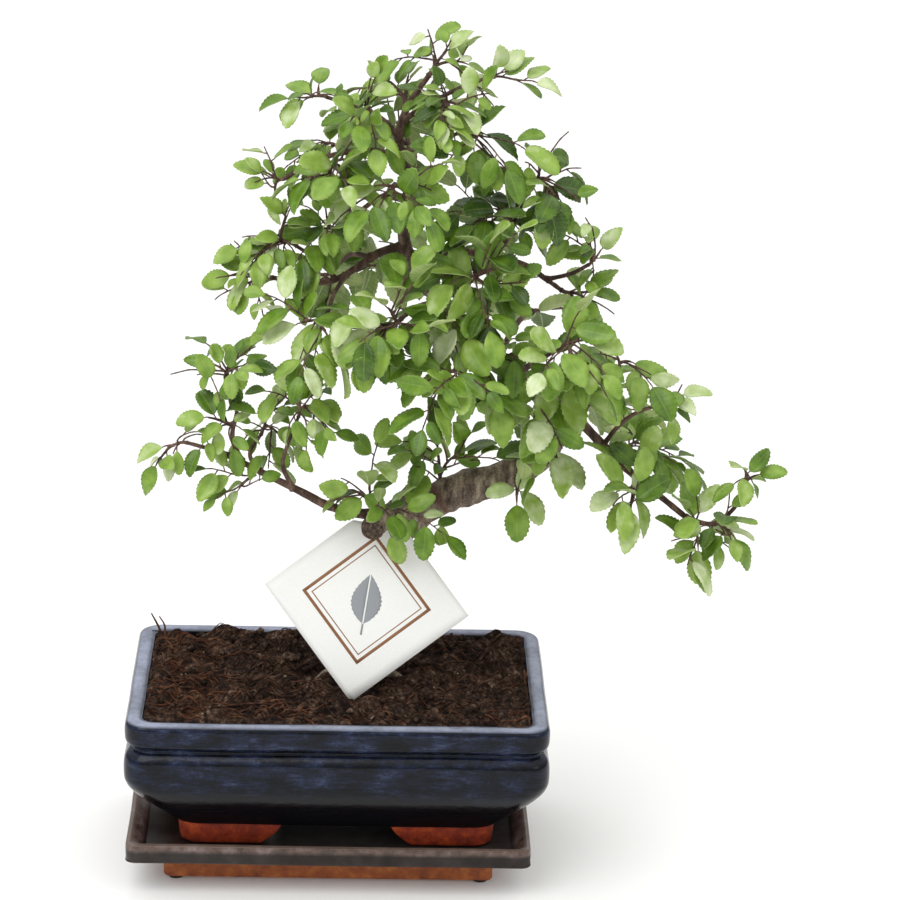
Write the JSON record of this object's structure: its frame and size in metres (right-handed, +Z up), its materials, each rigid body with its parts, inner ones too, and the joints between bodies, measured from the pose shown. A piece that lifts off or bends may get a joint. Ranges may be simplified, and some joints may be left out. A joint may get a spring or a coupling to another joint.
{
  "type": "zelkova bonsai",
  "caption": "Zelkova bonsai with a curved trunk and small toothed leaves, planted in a blue glazed rectangular pot that stands on a brown glazed drip tray, with a square card tag.",
  "frame": {"origin": "the middle of the bottom of the whole part's box, on the table", "axes": "+X to the right of the pot's long front, +Y away from the viewer, +Z up"},
  "size_m": [0.3164, 0.1846, 0.4152],
  "materials": {
    "tray_glaze": "glossy dark brown glaze over terracotta",
    "pot_glaze": "glossy mottled dark blue glaze, bare terracotta feet",
    "peat": "moist dark brown peat with fibres",
    "bark": "smooth grey-brown bark",
    "leaf": "fresh mid-green leaves on thin brown twigs",
    "card": "matt white card"
  },
  "bodies": {
    "root": {"apex": "leaf", "back_high_end": "leaf", "back_high_side": "leaf", "back_low_end": "leaf", "back_low_side": "leaf", "back_mid_end": "leaf", "crown_back_end": "leaf", "crown_back_high": "leaf", "crown_front_end": "leaf", "crown_left_back": "leaf", "crown_left_end": "leaf", "crown_left_fore": "leaf", "crown_left_high": "leaf", "crown_left_low": "leaf", "crown_right_end": "leaf", "crown_right_front": "leaf", "crown_right_side": "leaf", "crown_top": "leaf", "drip_tray": "tray_glaze", "elbow": "leaf", "front_low_end": "leaf", "front_low_side": "leaf", "front_mid_end": "leaf", "front_mid_side": "leaf", "knee": "leaf", "left_high_back": "leaf", "left_high_end": "leaf", "left_low_far": "leaf", "left_low_inner": "leaf", "left_low_rear": "leaf", "left_low_side": "leaf", "left_low_top": "leaf", "left_low_under": "leaf", "left_mid_end": "leaf", "left_mid_fore": "leaf", "left_mid_rear": "leaf", "left_mid_top": "leaf", "name_tag": "card", "near_trunk": "leaf", "over_trunk": "leaf", "pot": "pot_glaze", "right_high_end": "leaf", "right_high_fore": "leaf", "right_high_rear": "leaf", "right_high_rise": "leaf", "right_high_side": "leaf", "right_high_top": "leaf", "right_low_far": "leaf", "right_low_fore": "leaf", "right_low_high_end": "leaf", "right_low_rear": "leaf", "right_low_side": "leaf", "right_low_top": "leaf", "right_low_under": "leaf", "right_mid_end": "leaf", "right_mid_low": "leaf", "soil": "peat", "trunk": "bark"}
  },
  "joints": []
}
